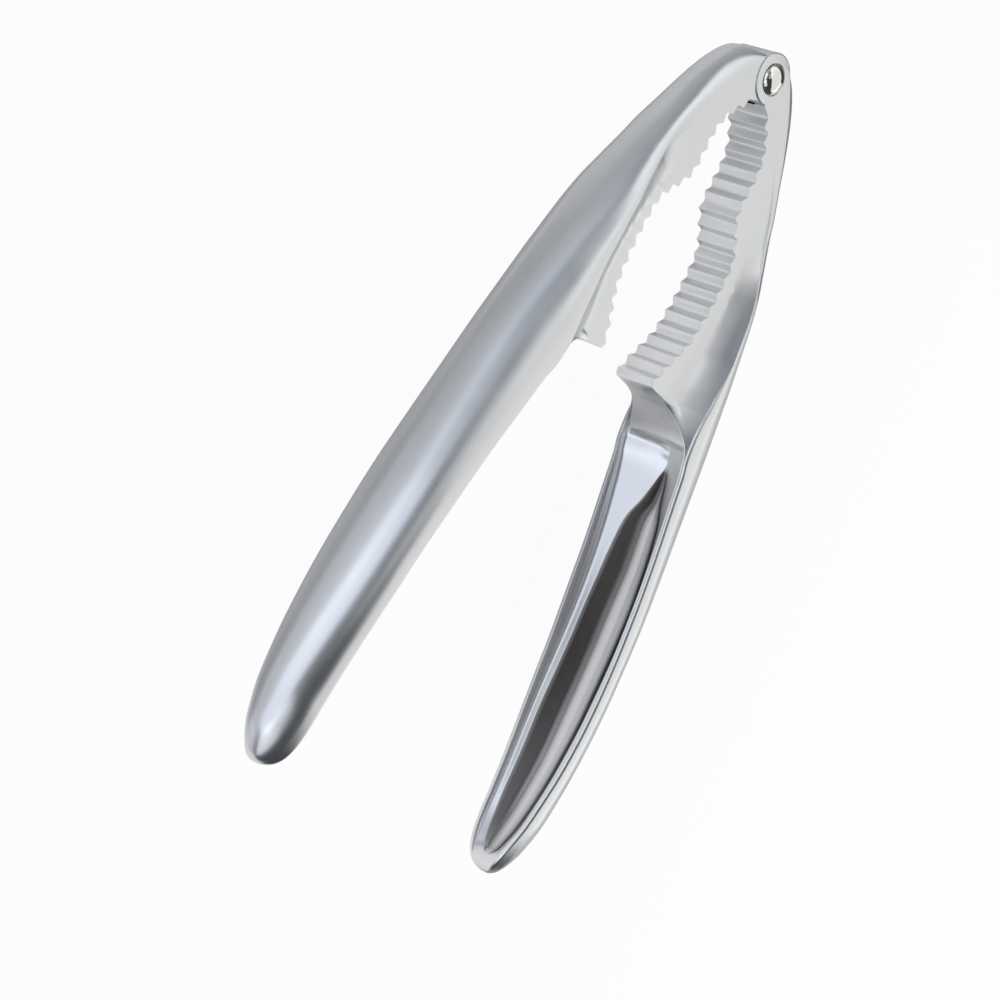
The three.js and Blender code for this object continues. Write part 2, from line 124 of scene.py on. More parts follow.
# Jaw sizes in millimetres; a tooth's peak is a share of its pitch
jaw = {
    "width": 10.6,
    "reach": 71.8,
    "teeth": 19,
    "toothHeight": 1.5,
    "toothSag": 0.5,      # how far the teeth's middle lies below their ends
    "sagStart": 6,        # where the sag comes in past the hinge
    "sagEnd": 70.8,       # and where it goes out at the lip
    "sagFade": 3,         # how far both take
    "peak": 0.5,          # place of the peak by the hinge
    "peakDrift": 0.12,    # and how far it has moved on at the lip
    "valleyRound": 0.62,
    "peakRound": 0.3,
    "edgeRound": 0.4,
    "rootEnd": 0.085,     # where the plain root ends and the teeth start, as a share of the reach
    "neckStart": 1.006,   # the first point below the lip
    "samples": 600,       # along the jaw's curve
    "lineSteps": 2,       # on each side of a tooth
    "cornerSteps": 5,     # round each valley and peak
}

# A small hollow, a bump, a large hollow and the lip, then the neck, as shares of the jaw's reach
jawTable = [
    (0.118, -0.03), (0.167, -0.058), (0.209, -0.075), (0.256, -0.082), (0.306, -0.075), (0.355, -0.063),
    (0.39, -0.054), (0.425, -0.052), (0.46, -0.064), (0.508, -0.089), (0.557, -0.106), (0.606, -0.103),
    (0.655, -0.093), (0.7, -0.083), (0.752, -0.068), (0.794, -0.052), (0.836, -0.035), (0.877, -0.007),
    (0.919, 0.028), (0.961, 0.06), (1, 0.078),
]
neckTable = [
    (1, 0.078), (1.011, 0.05), (1.024, 0.01), (1.04, -0.02), (1.054, -0.0418), (1.086, -0.0738),
    (1.1226, -0.1), (1.1476, -0.111), (1.184, -0.1184),
]

# Hand recess, a walled ledge with a pointed scoop in it: lengths in millimetres, shares where noted
recess = {
    "rimLand": 0.2,       # flat between the rim's rounding and the recess
    "mouthLeast": 0.25,   # least share of the inner edge's width that the land leaves
    "wallDraft": 0.37,    # the wall's width against its depth
    "lipReach": 1.1,      # how far the rounded lip runs down the wall
    "lipMost": 0.4,       # most of the wall that the lip takes, as a share
    "footRound": 0.7,     # between the wall and the ledge
    "scoopRound": 0.2,    # between the ledge and the scoop
    "bottomRound": 2.6,
    "scoopSlope": 1.4,    # depth against width of the scoop's side
    "scoopSide": 0.93,    # share of the scoop's depth that its side takes
    "sideMost": 0.6,      # most of the scoop's half width that its side takes
    "flatSpread": 0.5,    # width of the ledge's middle faces where there is no scoop, as a share
    "scoopStart": 0.4,    # shares of the reach from where these faces draw together
    "scoopGather": 0.038,
    "scoopEnd": 0.977,    # and where they part again, over this many millimetres
    "scoopPart": 2,
}

# The wall's height and the ledge's fall to its middle, as shares of the crown's reach
wallTable = [
    (0.402, 0), (0.416, 0.02), (0.432, 0.05), (0.443, 0.07), (0.469, 0.08), (0.507, 0.11), (0.56, 0.135),
    (0.64, 0.145), (0.72, 0.12), (0.8, 0.09), (0.88, 0.07), (0.933, 0.055), (0.965, 0.04), (0.977, 0.02),
    (0.984, 0),
]
dipTable = [
    (0.44, 0), (0.4415, 0.02), (0.447, 0.235), (0.452, 0.255), (0.469, 0.265), (0.49, 0.27), (0.517, 0.25),
    (0.57, 0.22), (0.67, 0.15), (0.784, 0.1), (0.88, 0.13), (0.933, 0.14), (0.965, 0.1), (0.983, 0),
]

# The scoop's half width, as shares of the handle's, and its depth, of the crown's reach
scoopWidthTable = [
    (0.466, 0.01), (0.49, 0.13), (0.517, 0.27), (0.544, 0.46), (0.57, 0.53), (0.613, 0.59), (0.67, 0.63),
    (0.784, 0.62), (0.85, 0.55), (0.896, 0.48), (0.939, 0.36), (0.962, 0.24), (0.973, 0.12), (0.977, 0.02),
]
scoopDepthTable = [
    (0.466, 0), (0.49, 0.06), (0.52, 0.125), (0.57, 0.19), (0.613, 0.215), (0.693, 0.22), (0.784, 0.225),
    (0.85, 0.205), (0.905, 0.165), (0.95, 0.095), (0.97, 0.035), (0.977, 0),
]

# Painted shade on the scoop's sides, in place of the dark reflections there: shares, and millimetres where
# noted
scoopPaintedShade = {
    "edgeFall": 0.1,      # share of the depth over which the tone comes in below the scoop's edge
    "fullDepth": 0.8,     # millimetres of depth at which it is full
    "leastDepth": 0.01,   # depth in millimetres that counts as none
    "floor": 0.15,        # what is left of it on the scoop's floor
    "sideBand": 2.4,      # how far the sides' tone runs on over the floor, in millimetres
    "sideFade": 2.6,      # and over how many millimetres it goes out
    "tipLoss": 0.25,      # how much weaker it is by the tip
    "tipStart": 0.7,
    "tipFade": 0.25,
}

# How many faces each stretch of a section gets
sectionSteps = {"crown": 26, "flank": 3, "rim": 6, "fillet": 12, "corner": 5, "line": 4}
cornerMost = 0.45         # most of a side that a rounded corner takes


# A smooth curve through a table of shares, flat where the table turns back
def law(table, along, across):
    xs = [x * along for x, y in table]
    ys = [y * across for x, y in table]
    slopes = [0.0] * len(xs)
    for i in range(1, len(xs) - 1):
        before = (ys[i] - ys[i - 1]) / (xs[i] - xs[i - 1])
        after = (ys[i + 1] - ys[i]) / (xs[i + 1] - xs[i])
        if before * after > 0:
            slopes[i] = 2 * before * after / (before + after)

    def value(x):
        if x <= xs[0]:
            return ys[0]
        i = 0
        while i < len(xs) - 2 and x > xs[i + 1]:
            i += 1
        width = xs[i + 1] - xs[i]
        t = min((x - xs[i]) / width, 1)
        rise = ys[i + 1] - ys[i]
        start = slopes[i] * width
        end = slopes[i + 1] * width
        return ys[i] + t * start + t * t * (3 * rise - 2 * start - end) + t ** 3 * (start + end - 2 * rise)

    return value


# Each law gives a size in millimetres at a place along the lever, which the functions below call a
reach = lever["reach"]
crownReach = lever["crownReach"]
halfHandle = lever["handleWidth"] / 2
halfJaw = jaw["width"] / 2
crownLaw = law(crownTable, reach, crownReach)
flankLaw = law(flankTable, reach, crownReach)
rimLaw = law(rimTable, reach, crownReach)
widthLaw = law(widthTable, reach, 1)
roundLaw = law(roundTable, reach, lever["rimRound"])
filletLaw = law(filletTable, reach, lever["filletReach"])
wallLaw = law(wallTable, reach, crownReach)
dipLaw = law(dipTable, reach, crownReach)
scoopWidthLaw = law(scoopWidthTable, reach, halfHandle)
scoopDepthLaw = law(scoopDepthTable, reach, crownReach)
neckLaw = law(neckTable, jaw["reach"], jaw["reach"])
neckEnd = neckTable[-1][0] * jaw["reach"]
tipLevel = (rimLaw(reach) - crownLaw(reach)) / 2


# 1 along the lever, falling to 0 round the tip
def tipRound(a, startShare):
    start = startShare * reach
    if a <= start:
        return 1
    t = min((a - start) / (reach - start), 1)
    return (1 - t ** lever["tipPower"]) ** (1 / lever["tipPower"])


def drawnIn(level, a):
    return tipLevel + (level - tipLevel) * tipRound(a, lever["tipLevelStart"])


def rimLevel(a):
    return drawnIn(rimLaw(a), a)


# The outer side at one place: its widest level, the rim's level, the half widths there and at the crest
def sideAt(a):
    flank = drawnIn(-flankLaw(a), a)
    rim = max(rimLevel(a), flank)
    atCrest = halfJaw + (halfHandle - lever["rimRound"] - halfJaw) * widthLaw(a)
    wide = (atCrest + roundLaw(a)) * tipRound(a, lever["tipWidthStart"])
    roundSize = min(roundLaw(a), (rim - flank) / 2, wide / 2)
    return flank, rim, wide, wide - roundSize


# A step from 0 to 1 with soft ends
def smooth(t):
    t = min(max(t, 0), 1)
    return t * t * (3 - 2 * t)


def line(start, end, steps):
    return [start + (end - start) * (i / steps) for i in range(1, steps + 1)]


# A path whose corners are rounded, always with the same count of points
def roundedPath(points, rounds, lineSteps, cornerSteps):
    path = [points[0]]
    for i in range(1, len(points) - 1):
        corner = points[i]
        back = points[i - 1] - corner
        ahead = points[i + 1] - corner
        size = min(rounds[i - 1], cornerMost * back.length, cornerMost * ahead.length)
        start = corner + back.normalized() * size
        end = corner + ahead.normalized() * size
        path += line(path[-1], start, lineSteps)
        for k in range(1, cornerSteps + 1):
            t = k / cornerSteps
            path.append(start * (1 - t) ** 2 + corner * (2 * t * (1 - t)) + end * t * t)
    return path + line(path[-1], points[-1], lineSteps)


# A point of the smooth curve through all the points, t from 0 to 1
def splinePoint(points, t):
    place = t * (len(points) - 1)
    i = min(int(place), len(points) - 2)
    w = place - i
    p1, p2 = points[i], points[i + 1]
    p0 = points[i - 1] if i > 0 else p1
    p3 = points[i + 2] if i + 2 < len(points) else p2
    v0 = (p2 - p0) * 0.5
    v1 = (p3 - p1) * 0.5
    return (p1 * 2 - p2 * 2 + v0 + v1) * w ** 3 + (p2 * 3 - p1 * 3 - v0 * 2 - v1) * w * w + v0 * w + p1


# Valleys and peaks by turns along the jaw, as places along the lever and levels
def jawTeeth():
    points = [Vector((x * jaw["reach"], y * jaw["reach"])) for x, y in jawTable]
    samples = [splinePoint(points, i / jaw["samples"]) for i in range(jaw["samples"] + 1)]
    lengths = [0.0]
    for i in range(1, len(samples)):
        lengths.append(lengths[-1] + (samples[i] - samples[i - 1]).length)

    def at(share):
        target = share * lengths[-1]
        i = 1
        while i < len(lengths) - 1 and lengths[i] < target:
            i += 1
        t = (target - lengths[i - 1]) / (lengths[i] - lengths[i - 1])
        along = (samples[i] - samples[i - 1]).normalized()
        return samples[i - 1].lerp(samples[i], t), along

    teeth = []
    for i in range(jaw["teeth"]):
        peak = jaw["peak"] + jaw["peakDrift"] * i / jaw["teeth"]
        for share, lift in ((0, -0.5), (peak, 0.5)):
            place, along = at((i + share) / jaw["teeth"])
            teeth.append(place + Vector((-along.y, along.x)) * lift * jaw["toothHeight"])
    return teeth + [samples[-1]]


# The inner edge from behind the hinge over the jaw, the lip and the neck to the rim
def edgeLine():
    start = Vector((lever["start"], 0))
    root = Vector((jaw["rootEnd"] * jaw["reach"], 0))
    rootSteps = math.ceil((root.x - start.x) / lever["edgeStep"])
    path = [start] + line(start, root, rootSteps)[:-1]
    neckStart = jaw["reach"] * jaw["neckStart"]
    corners = [root] + jawTeeth() + [Vector((neckStart, neckLaw(neckStart)))]
    rounds = [jaw["valleyRound"], jaw["peakRound"]] * jaw["teeth"] + [jaw["peakRound"]]
    path += roundedPath(corners, rounds, jaw["lineSteps"], jaw["cornerSteps"])
    place = path[-1]
    nudge = 0.01          # over which the neck's slope is taken
    while place.x < neckEnd:
        slope = (neckLaw(place.x + nudge) - neckLaw(place.x)) / nudge
        nextX = place.x + lever["edgeStep"] / math.sqrt(1 + slope * slope)
        place = Vector((nextX, neckLaw(nextX)))
        path.append(place)
    return path


# Every section's place and the level of its inner edge
def stations():
    found = [(p.x, p.y) for p in edgeLine()]
    tipStart = lever["tipWidthStart"] * reach
    first = found[-1][0]
    count = math.ceil((tipStart - first) / lever["handleStep"])
    for i in range(1, count + 1):
        a = first + (tipStart - first) * i / count
        found.append((a, rimLevel(a)))
    end = lever["tipEnd"] * reach
    for i in range(1, lever["tipSections"] + 1):
        a = tipStart + (end - tipStart) * math.sin(i / lever["tipSections"] * math.pi / 2)
        found.append((a, rimLevel(a)))
    return found


# Half of the outer side, from the crown round the flank and over the rim
def outerPath(a):
    crown = drawnIn(-crownLaw(a), a)
    flank, rim, wide, crest = sideAt(a)
    roundSize = wide - crest
    path = []
    for i in range(sectionSteps["crown"] + 1):
        angle = i / sectionSteps["crown"] * math.pi / 2
        path.append(Vector((flank + (crown - flank) * math.cos(angle), wide * math.sin(angle))))
    path += line(path[-1], Vector((rim - roundSize, wide)), sectionSteps["flank"])
    for i in range(1, sectionSteps["rim"] + 1):
        angle = i / sectionSteps["rim"] * math.pi / 2
        path.append(Vector((rim - roundSize * (1 - math.sin(angle)), crest + roundSize * math.cos(angle))))
    return path


# The fillet from the rim in to the jaw's flat side, and its half width at the inner edge
def filletPath(a, edge):
    flank, rim, wide, crest = sideAt(a)
    wall = min(halfJaw, crest)

    def widthAt(level):
        left = 1 - min((level - rim) / filletLaw(a), 1)
        return wall + (crest - wall) * left ** lever["filletPower"]

    end = min(rim + filletLaw(a), rim + lever["filletMost"] * (edge - rim))
    path = []
    for i in range(1, sectionSteps["fillet"] + 1):
        level = rim + (end - rim) * i / sectionSteps["fillet"]
        path.append(Vector((level, widthAt(level))))
    return path, widthAt(edge)


# The hand recess at one place: its mouth, the wall's foot, the scoop's edge and depth, and its side's width
def recessAt(a, edge, edgeWidth):
    depth = wallLaw(a)
    mouth = max(edgeWidth - recess["rimLand"], edgeWidth * recess["mouthLeast"])
    foot = Vector((edge - depth, mouth - recess["wallDraft"] * min(depth, mouth)))
    apart = max(1 - smooth((a - recess["scoopStart"] * reach) / (recess["scoopGather"] * reach)),
                smooth((a - recess["scoopEnd"] * reach) / recess["scoopPart"]))
    wide = max(scoopWidthLaw(a), foot.y * recess["flatSpread"] * apart)
    middle = foot.x - dipLaw(a)
    scoop = Vector((middle + (foot.x - middle) * min(wide / foot.y, 1), wide))
    deep = scoopDepthLaw(a)
    side = min(deep * recess["scoopSide"] / recess["scoopSlope"], wide * recess["sideMost"])
    return Vector((edge, mouth)), foot, scoop, deep, side


# Half of the inner side, over the land and its lip, down the wall and over the ledge to the scoop's middle
def innerPath(a, edge, edgeWidth, start):
    mouth, foot, scoop, deep, side = recessAt(a, edge, edgeWidth)
    lines = sectionSteps["line"]
    corners = sectionSteps["corner"]
    path = roundedPath([start, Vector((edge, edgeWidth)), mouth], [jaw["edgeRound"]], lines, corners)[1:]
    lip = min(recess["lipReach"], recess["lipMost"] * wallLaw(a))
    lipEnd = mouth + (foot - mouth).normalized() * lip
    for i in range(1, corners + 1):
        t = i / corners
        level = edge + (lipEnd.x - edge) * t * t
        path.append(Vector((level, mouth.y + (lipEnd.y - mouth.y) * (1 - (1 - t) ** 2))))
    turns = [lipEnd, foot, scoop, scoop - Vector((deep * recess["scoopSide"], side)),
             Vector((scoop.x - deep, 0))]
    rounds = [recess["footRound"], recess["scoopRound"], recess["bottomRound"]]
    path += roundedPath(turns, rounds, lines, corners)[1:]
    # the second list is each point's painted shade
    return path, [paintedShadeAt(p, a, scoop, deep, side) for p in path]


# How much painted shade a point of the inner side gets
def paintedShadeAt(p, a, scoop, deep, side):
    fall = (scoop.x - p.x) / max(deep, scoopPaintedShade["leastDepth"])
    onSide = smooth((p.y - scoop.y + side + scoopPaintedShade["sideBand"]) / scoopPaintedShade["sideFade"])
    tone = smooth(fall / scoopPaintedShade["edgeFall"]) * smooth(deep / scoopPaintedShade["fullDepth"])
    tone *= scoopPaintedShade["floor"] + (1 - scoopPaintedShade["floor"]) * onSide
    tipLoss = scoopPaintedShade["tipLoss"] * smooth((a / reach - scoopPaintedShade["tipStart"]) / scoopPaintedShade["tipFade"])
    return tone * (1 - tipLoss)


# Half a section from the crown to the middle of the inner side, with its points' painted shade
def halfSection(a, edge):
    edge = max(edge, sideAt(a)[1])
    half = outerPath(a)
    fillet, edgeWidth = filletPath(a, edge)
    half += fillet
    inner, paintedShades = innerPath(a, edge, edgeWidth, half[-1])
    shade = [0.0] * len(half) + paintedShades
    sag = jaw["toothSag"] * (1 - smooth((a - jaw["sagEnd"]) / jaw["sagFade"]))
    sag *= smooth((a - jaw["sagStart"]) / jaw["sagFade"])
    for p in inner:
        p.x -= sag * max(1 - (p.y / halfJaw) ** 2, 0)
    return half + inner, shade


# Selects one object and nothing else
def only(piece):
    bpy.ops.object.select_all(action="DESELECT")
    piece.select_set(True)
    bpy.context.view_layer.objects.active = piece


# One lever's skin; side is -1 for the tongue lever and 1 for the fork lever
def leverMesh(name, side):
    turn = math.radians(lever["openingAngle"] / 2)
    down = Vector((side * math.sin(turn), -math.cos(turn), 0))
    inward = Vector((-side * math.cos(turn), -math.sin(turn), 0))
    verts = []
    shades = []
    places = stations()
    for a, edge in places:
        section, shade = halfSection(a, edge)
        shades += shade + shade[-2:0:-1]
        ring = [(p.x, p.y) for p in section] + [(p.x, -p.y) for p in reversed(section[1:-1])]
        verts += [hingePoint + (down * a + inward * b + Vector((0, 0, z))) * mm for b, z in ring]
    rows = len(places)
    count = len(ring)
    faces = [tuple(range(count)), tuple(reversed(range((rows - 1) * count, rows * count)))]
    for i in range(rows - 1):
        for j in range(count):
            k = (j + 1) % count
            faces.append((i * count + j, (i + 1) * count + j, (i + 1) * count + k, i * count + k))
    if side > 0:
        faces = [tuple(reversed(f)) for f in faces]     # the fork lever is the mirrored one
    mesh = bpy.data.meshes.new(name)
    mesh.from_pydata(verts, [], faces)
    # each point's painted shade for the scoops' sides
    mesh.attributes.new("hollowShade", "FLOAT", "POINT").data.foreach_set("value", shades)
    piece = bpy.data.objects.new(name, mesh)
    bpy.context.scene.collection.objects.link(piece)
    only(piece)
    bpy.ops.object.mode_set(mode="EDIT")
    bpy.ops.mesh.select_all(action="SELECT")
    bpy.ops.mesh.remove_doubles(threshold=lever["weld"] * mm)
    bpy.ops.mesh.dissolve_degenerate(threshold=lever["sliver"] * mm)
    bpy.ops.mesh.normals_make_consistent(inside=False)
    bpy.ops.object.mode_set(mode="OBJECT")
    return piece


# Hinge sizes in millimetres
knuckle = {
    "radius": 5.9,
    "edge": 0.4,          # rounding of the ears' rims
    "edgeFaces": 5,
    "tongue": 3.2,
    "washer": 0.4,
    "washerRadius": 5.2,
    "washerEdge": 0.08,
    "gap": 0.25,
    "collarGap": 0.4,
    "pinRadius": 2.5,
    "headRadius": 3.5,
    "headBase": 0.05,     # thin disc that a head is drawn out of
    "domeRise": 1.5,
    "headSink": 0.7,
    "domeFlank": 0.15,    # straight part of a head below its dome, as a share of its rise
    "domeRings": 12,
    "domeTurn": 0.97,     # share of a quarter turn that the rings take, before the flat middle
    "sides": 128,
    "cutPast": 3,         # how far the cutting cylinders run past the handle's sides
    "hair": 0.012,        # keeps two joined faces out of one plane
}
halfKnuckle = halfJaw - knuckle["hair"]     # the ears are as wide as the jaws
halfTongue = knuckle["tongue"] / 2
halfSlot = halfTongue + knuckle["washer"] + knuckle["gap"] * 2
seatLevel = halfKnuckle - knuckle["headSink"]
headLevel = seatLevel + knuckle["gap"]
collarRadius = knuckle["radius"] + knuckle["collarGap"]
boreRadius = knuckle["pinRadius"] + knuckle["gap"]
far = halfHandle + knuckle["cutPast"]
sameHeight = 0.01 * mm
sameNormal = 0.01
smoothAngle = 32          # edges sharper than this many degrees stay crisp


# A cylinder about the hinge between two heights, its rims rounded by edge
def disc(radius, low, high, edge=0):
    bpy.ops.object.select_all(action="DESELECT")
    bpy.ops.mesh.primitive_cylinder_add(
        vertices=knuckle["sides"], radius=radius * mm, depth=(high - low) * mm,
        location=hingePoint + Vector((0, 0, (low + high) / 2 * mm)))
    piece = bpy.context.object
    bpy.ops.object.transform_apply(location=True, rotation=True, scale=True)
    if edge:
        bpy.ops.object.mode_set(mode="EDIT")
        bpy.ops.mesh.select_all(action="DESELECT")
        bpy.ops.object.mode_set(mode="OBJECT")
        for e in piece.data.edges:
            one, two = (piece.data.vertices[v].co for v in e.vertices)
            e.select = abs(one.z - two.z) < sameHeight
        bpy.ops.object.mode_set(mode="EDIT")
        bpy.ops.mesh.bevel(offset=edge * mm, segments=knuckle["edgeFaces"])
        bpy.ops.object.mode_set(mode="OBJECT")
    return piece


# Cuts or joins with another solid, which is used up
def combine(piece, tool, operation):
    only(piece)
    modifier = piece.modifiers.new("shape", "BOOLEAN")
    modifier.operation = operation
    modifier.solver = "EXACT"
    modifier.object = tool
    bpy.ops.object.modifier_apply(modifier=modifier.name)
    bpy.data.objects.remove(tool)


def finishSkin(piece):
    only(piece)
    bpy.ops.object.shade_smooth_by_angle(angle=math.radians(smoothAngle))


def makeTongueLever():
    piece = leverMesh("tongueLeverSkin", -1)
    combine(piece, disc(collarRadius, halfTongue, far), "DIFFERENCE")
    combine(piece, disc(collarRadius, -far, -halfTongue), "DIFFERENCE")
    middle = halfTongue - knuckle["hair"]
    combine(piece, disc(knuckle["radius"], -middle, middle), "UNION")
    combine(piece, disc(boreRadius, -far, far), "DIFFERENCE")
    finishSkin(piece)
    return piece


def makeForkLever():
    piece = leverMesh("forkLeverSkin", 1)
    combine(piece, disc(knuckle["radius"], -halfKnuckle, halfKnuckle, knuckle["edge"]), "UNION")
    combine(piece, disc(collarRadius, -halfSlot, halfSlot), "DIFFERENCE")
    combine(piece, disc(boreRadius, -far, far), "DIFFERENCE")
    seatRadius = knuckle["headRadius"] + knuckle["gap"]
    combine(piece, disc(seatRadius, seatLevel, far), "DIFFERENCE")
    combine(piece, disc(seatRadius, -far, -seatLevel), "DIFFERENCE")
    finishSkin(piece)
    return piece


tongueLever = makeTongueLever()
forkLever = makeForkLever()
print("levers made:", len(tongueLever.data.polygons), len(forkLever.data.polygons), "faces")


# Draws one end of a cylinder out into a domed rivet head
def domedHead(piece, side):
    rise = knuckle["domeRise"] + knuckle["headSink"] - knuckle["gap"]
    top = hingePoint.z + side * headLevel * mm
    bpy.ops.object.mode_set(mode="EDIT")
    bpy.ops.mesh.select_mode(type="FACE")
    bpy.ops.mesh.select_all(action="DESELECT")
    bpy.ops.object.mode_set(mode="OBJECT")
    for f in piece.data.polygons:
        f.select = abs(f.normal.z * side - 1) < sameNormal and abs(f.center.z - top) < sameHeight
    bpy.ops.object.mode_set(mode="EDIT")
    flank = rise * knuckle["domeFlank"]
    bpy.ops.mesh.extrude_region_move(TRANSFORM_OT_translate={"value": (0, 0, side * flank * mm)})
    turn = math.pi / 2 * knuckle["domeTurn"] / knuckle["domeRings"]
    done = 0.0
    for i in range(1, knuckle["domeRings"] + 1):
        up = (rise - flank) * math.sin(i * turn)
        across = math.cos(i * turn) / math.cos((i - 1) * turn)
        bpy.ops.mesh.extrude_region_move(TRANSFORM_OT_translate={"value": (0, 0, side * (up - done) * mm)})
        bpy.ops.transform.resize(value=(across, across, 1), center_override=tuple(hingePoint))
        done = up
    bpy.ops.object.mode_set(mode="OBJECT")


def makePin():
    base = headLevel - knuckle["headBase"]
    piece = disc(knuckle["pinRadius"], knuckle["gap"] - seatLevel, base)
    piece.name = "hingePinSkin"
    head = disc(knuckle["headRadius"], base, headLevel)
    domedHead(head, 1)
    combine(piece, head, "UNION")
    finishSkin(piece)
    return piece


def makeCap():
    piece = disc(knuckle["headRadius"], -headLevel, knuckle["headBase"] - headLevel)
    piece.name = "rearCapSkin"
    domedHead(piece, -1)
    finishSkin(piece)
    return piece


def makeWasher(side):
    low = halfTongue + knuckle["gap"]
    ends = sorted((side * low, side * (low + knuckle["washer"])))
    piece = disc(knuckle["washerRadius"], ends[0], ends[1], knuckle["washerEdge"])
    piece.name = "frontWasherSkin" if side > 0 else "rearWasherSkin"
    combine(piece, disc(boreRadius, -far, far), "DIFFERENCE")
    finishSkin(piece)
    return piece


hingePin = makePin()
rearCap = makeCap()
frontWasher = makeWasher(1)
rearWasher = makeWasher(-1)
print("pin, cap and washers made")


# A node group with its named sockets, and its two end nodes
def nodeGroup(name, inputs, outputs):
    group = bpy.data.node_groups.new(name, "ShaderNodeTree")
    for label, kind, value in inputs:
        made = group.interface.new_socket(name=label, in_out="INPUT", socket_type=kind)
        made.default_value = value
    for label, kind in outputs:
        group.interface.new_socket(name=label, in_out="OUTPUT", socket_type=kind)
    return group, group.nodes.new("NodeGroupInput"), group.nodes.new("NodeGroupOutput")


# Fine blasted grain and slow cloudiness of a satin plated casting
castGrain = {
    "cloudDetail": 4,
    "cloudLow": 0.3,      # the noise's values that give the lowest and the highest roughness
    "cloudHigh": 0.7,
    "grainDetail": 2,
    "grainHeight": 0.00003,
}


def castSkin():
    group, inside, outside = nodeGroup(
        "castSkin",
        [("Cloud Scale", "NodeSocketFloat", 60), ("Grain Scale", "NodeSocketFloat", 2600),
         ("Roughness Low", "NodeSocketFloat", 0.27), ("Roughness High", "NodeSocketFloat", 0.33),
         ("Dark", "NodeSocketColor", (0.7, 0.71, 0.73, 1)),
         ("Light", "NodeSocketColor", (0.76, 0.77, 0.78, 1)),
         ("Grain Height", "NodeSocketFloat", 0.02)],
        [("Colour", "NodeSocketColor"), ("Roughness", "NodeSocketFloat"), ("Normal", "NodeSocketVector")])
    nodes, links = group.nodes, group.links
    place = nodes.new("ShaderNodeTexCoord")
    cloud = nodes.new("ShaderNodeTexNoise")
    cloud.inputs["Detail"].default_value = castGrain["cloudDetail"]
    grain = nodes.new("ShaderNodeTexNoise")
    grain.inputs["Detail"].default_value = castGrain["grainDetail"]
    links.new(place.outputs["Object"], cloud.inputs["Vector"])
    links.new(place.outputs["Object"], grain.inputs["Vector"])
    links.new(inside.outputs["Cloud Scale"], cloud.inputs["Scale"])
    links.new(inside.outputs["Grain Scale"], grain.inputs["Scale"])
    tone = nodes.new("ShaderNodeMix")
    tone.data_type = "RGBA"
    links.new(cloud.outputs["Fac"], tone.inputs["Factor"])
    links.new(inside.outputs["Dark"], tone.inputs["A"])
    links.new(inside.outputs["Light"], tone.inputs["B"])
    shine = nodes.new("ShaderNodeMapRange")
    shine.inputs["From Min"].default_value = castGrain["cloudLow"]
    shine.inputs["From Max"].default_value = castGrain["cloudHigh"]
    links.new(cloud.outputs["Fac"], shine.inputs["Value"])
    links.new(inside.outputs["Roughness Low"], shine.inputs["To Min"])
    links.new(inside.outputs["Roughness High"], shine.inputs["To Max"])
    bump = nodes.new("ShaderNodeBump")
    bump.inputs["Distance"].default_value = castGrain["grainHeight"]
    links.new(grain.outputs["Fac"], bump.inputs["Height"])
    links.new(inside.outputs["Grain Height"], bump.inputs["Strength"])
    links.new(tone.outputs["Result"], outside.inputs["Colour"])
    links.new(shine.outputs["Result"], outside.inputs["Roughness"])
    links.new(bump.outputs["Normal"], outside.inputs["Normal"])
    return group


castGroup = castSkin()


# A finish in the cast skin's pattern, with an optional colour of painted shade for the scoops' sides
def makeFinish(name, skinValues, metallic=1, hollowPaintedShade=None):
    material = bpy.data.materials.new(name)
    material.use_nodes = True
    nodes, links = material.node_tree.nodes, material.node_tree.links
    shader = nodes["Principled BSDF"]
    shader.inputs["Metallic"].default_value = metallic
    skin = nodes.new("ShaderNodeGroup")
    skin.node_tree = castGroup
    for label, value in skinValues.items():
        skin.inputs[label].default_value = value
    colour = skin.outputs["Colour"]
    if hollowPaintedShade:
        # painted shade: the hollowShade attribute mixes the dark colour in
        shade = nodes.new("ShaderNodeAttribute")
        shade.attribute_name = "hollowShade"
        paintedShadeMix = nodes.new("ShaderNodeMix")
        paintedShadeMix.data_type = "RGBA"
        paintedShadeMix.inputs["B"].default_value = hollowPaintedShade
        links.new(shade.outputs["Fac"], paintedShadeMix.inputs["Factor"])
        links.new(colour, paintedShadeMix.inputs["A"])
        colour = paintedShadeMix.outputs["Result"]
    links.new(colour, shader.inputs["Base Color"])
    links.new(skin.outputs["Roughness"], shader.inputs["Roughness"])
    links.new(skin.outputs["Normal"], shader.inputs["Normal"])
    return material


# the dark colour here is painted shade on the scoops' sides, in place of their dark reflections
satinChrome = makeFinish("satinChrome", {}, hollowPaintedShade=(0.13, 0.115, 0.11, 1))
polishedSteel = makeFinish("polishedSteel", {
    "Roughness Low": 0.05, "Roughness High": 0.09, "Grain Height": 0.004,
    "Dark": (0.78, 0.76, 0.72, 1), "Light": (0.84, 0.82, 0.78, 1)})
washerPlastic = makeFinish("washerPlastic", {
    "Roughness Low": 0.45, "Roughness High": 0.55,
    "Dark": (0.7, 0.7, 0.68, 1), "Light": (0.78, 0.78, 0.76, 1)}, metallic=0)

pieces = [
    (tongueLever, satinChrome, "tongue", "tongue_lever", "tongue_casting"),
    (forkLever, satinChrome, "fork", "fork_lever", "fork_casting"),
    (hingePin, polishedSteel, "fork", "hinge_pin", "pin"),
    (rearCap, polishedSteel, "fork", "rear_cap", "pin"),
    (frontWasher, washerPlastic, "fork", "front_washer", "washers"),
    (rearWasher, washerPlastic, "fork", "rear_washer", "washers"),
]
for piece, material, body, node, slot in pieces:
    piece.data.materials.clear()
    piece.data.materials.append(material)
    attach(piece, body)
    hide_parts(node)
print("finishes and bodies set")

